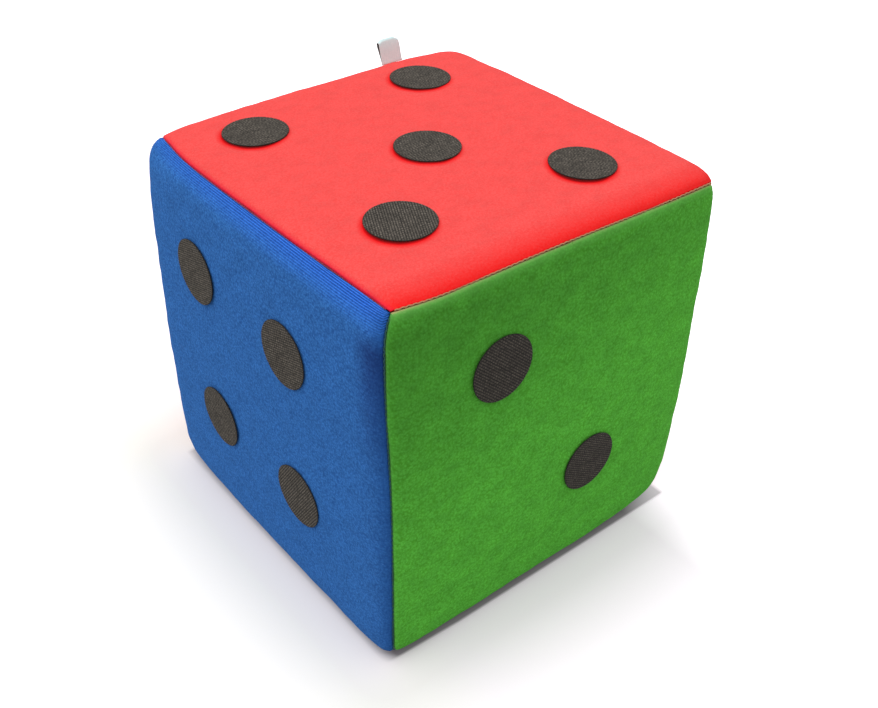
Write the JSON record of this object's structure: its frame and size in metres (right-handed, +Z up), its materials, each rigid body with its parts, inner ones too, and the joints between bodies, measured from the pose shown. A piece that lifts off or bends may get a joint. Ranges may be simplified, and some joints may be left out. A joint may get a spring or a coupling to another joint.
{
  "type": "educational sticker cube",
  "caption": "Soft foam cube in a sewn cover of coloured loop-fabric panels, with round hook-tape discs that peel off its faces and a folded ribbon tab in one seam.",
  "frame": {"origin": "on the ground under the middle of the cube, at the outer faces of the discs that it rests on", "axes": "+Z up through the red face with five discs, -Y out of the green face with two discs, -X out of the blue face with four discs"},
  "size_m": [0.1561, 0.1562, 0.1643],
  "materials": {
    "foam": "open-cell foam, cream, dull",
    "loop_red": "brushed loop knit, matt",
    "loop_green": "brushed loop knit, matt, slightly mottled",
    "loop_blue": "loop knit with fine ribs, soft sheen",
    "loop_orange": "brushed loop knit, matt",
    "loop_yellow": "brushed loop knit, matt",
    "loop_violet": "brushed loop knit, matt",
    "thread": "twisted polyester, dull",
    "ribbon": "satin weave, soft sheen",
    "hook_tape": "woven nylon tape, dull"
  },
  "bodies": {
    "cube": {"foam_block": "foam", "top_panel": "loop_red", "front_panel": "loop_green", "left_panel": "loop_blue", "right_panel": "loop_orange", "back_panel": "loop_yellow", "bottom_panel": "loop_violet", "seam_thread_top_front": "thread", "seam_thread_top_right": "thread", "seam_thread_top_back": "thread", "seam_thread_top_left": "thread", "seam_thread_bottom_front": "thread", "seam_thread_bottom_right": "thread", "seam_thread_bottom_back": "thread", "seam_thread_bottom_left": "thread", "seam_thread_front_left": "thread", "seam_thread_front_right": "thread", "seam_thread_back_left": "thread", "seam_thread_back_right": "thread", "ribbon_sewn_ends": "ribbon"},
    "tab": {"ribbon_tab": "ribbon"},
    "top_spot_1": {"top_disc_1": "hook_tape"},
    "top_spot_2": {"top_disc_2": "hook_tape"},
    "top_spot_3": {"top_disc_3": "hook_tape"},
    "top_spot_4": {"top_disc_4": "hook_tape"},
    "top_spot_5": {"top_disc_5": "hook_tape"},
    "front_spot_1": {"front_disc_1": "hook_tape"},
    "front_spot_2": {"front_disc_2": "hook_tape"},
    "left_spot_1": {"left_disc_1": "hook_tape"},
    "left_spot_2": {"left_disc_2": "hook_tape"},
    "left_spot_3": {"left_disc_3": "hook_tape"},
    "left_spot_4": {"left_disc_4": "hook_tape"},
    "right_spot_1": {"right_disc_1": "hook_tape"},
    "right_spot_2": {"right_disc_2": "hook_tape"},
    "right_spot_3": {"right_disc_3": "hook_tape"},
    "back_spot_1": {"back_disc_1": "hook_tape"},
    "bottom_spot_1": {"bottom_disc_1": "hook_tape"},
    "bottom_spot_2": {"bottom_disc_2": "hook_tape"},
    "bottom_spot_3": {"bottom_disc_3": "hook_tape"},
    "bottom_spot_4": {"bottom_disc_4": "hook_tape"},
    "bottom_spot_5": {"bottom_disc_5": "hook_tape"},
    "bottom_spot_6": {"bottom_disc_6": "hook_tape"}
  },
  "joints": [
    {"name": "tab_bend", "type": "hinge", "parent": "cube", "child": "tab", "pos_m": [0.0397, 0.07301, 0.15216], "axis": [1, 0, 0], "range_deg": [-105, 45], "stiffness_Nm_per_rad": 0.0005},
    {"name": "top_peel_1", "type": "slide", "parent": "cube", "child": "top_spot_1", "axis": [0, 0, 1], "range_m": [0, 0.03]},
    {"name": "top_peel_2", "type": "slide", "parent": "cube", "child": "top_spot_2", "axis": [0, 0, 1], "range_m": [0, 0.03]},
    {"name": "top_peel_3", "type": "slide", "parent": "cube", "child": "top_spot_3", "axis": [0, 0, 1], "range_m": [0, 0.03]},
    {"name": "top_peel_4", "type": "slide", "parent": "cube", "child": "top_spot_4", "axis": [0, 0, 1], "range_m": [0, 0.03]},
    {"name": "top_peel_5", "type": "slide", "parent": "cube", "child": "top_spot_5", "axis": [0, 0, 1], "range_m": [0, 0.03]},
    {"name": "front_peel_1", "type": "slide", "parent": "cube", "child": "front_spot_1", "axis": [0, -1, 0], "range_m": [0, 0.03]},
    {"name": "front_peel_2", "type": "slide", "parent": "cube", "child": "front_spot_2", "axis": [0, -1, 0], "range_m": [0, 0.03]},
    {"name": "left_peel_1", "type": "slide", "parent": "cube", "child": "left_spot_1", "axis": [-1, 0, 0], "range_m": [0, 0.03]},
    {"name": "left_peel_2", "type": "slide", "parent": "cube", "child": "left_spot_2", "axis": [-1, 0, 0], "range_m": [0, 0.03]},
    {"name": "left_peel_3", "type": "slide", "parent": "cube", "child": "left_spot_3", "axis": [-1, 0, 0], "range_m": [0, 0.03]},
    {"name": "left_peel_4", "type": "slide", "parent": "cube", "child": "left_spot_4", "axis": [-1, 0, 0], "range_m": [0, 0.03]},
    {"name": "right_peel_1", "type": "slide", "parent": "cube", "child": "right_spot_1", "axis": [1, 0, 0], "range_m": [0, 0.03]},
    {"name": "right_peel_2", "type": "slide", "parent": "cube", "child": "right_spot_2", "axis": [1, 0, 0], "range_m": [0, 0.03]},
    {"name": "right_peel_3", "type": "slide", "parent": "cube", "child": "right_spot_3", "axis": [1, 0, 0], "range_m": [0, 0.03]},
    {"name": "back_peel_1", "type": "slide", "parent": "cube", "child": "back_spot_1", "axis": [0, 1, 0], "range_m": [0, 0.03]},
    {"name": "bottom_peel_1", "type": "slide", "parent": "cube", "child": "bottom_spot_1", "axis": [0, 0, -1], "range_m": [0, 0.03]},
    {"name": "bottom_peel_2", "type": "slide", "parent": "cube", "child": "bottom_spot_2", "axis": [0, 0, -1], "range_m": [0, 0.03]},
    {"name": "bottom_peel_3", "type": "slide", "parent": "cube", "child": "bottom_spot_3", "axis": [0, 0, -1], "range_m": [0, 0.03]},
    {"name": "bottom_peel_4", "type": "slide", "parent": "cube", "child": "bottom_spot_4", "axis": [0, 0, -1], "range_m": [0, 0.03]},
    {"name": "bottom_peel_5", "type": "slide", "parent": "cube", "child": "bottom_spot_5", "axis": [0, 0, -1], "range_m": [0, 0.03]},
    {"name": "bottom_peel_6", "type": "slide", "parent": "cube", "child": "bottom_spot_6", "axis": [0, 0, -1], "range_m": [0, 0.03]}
  ]
}
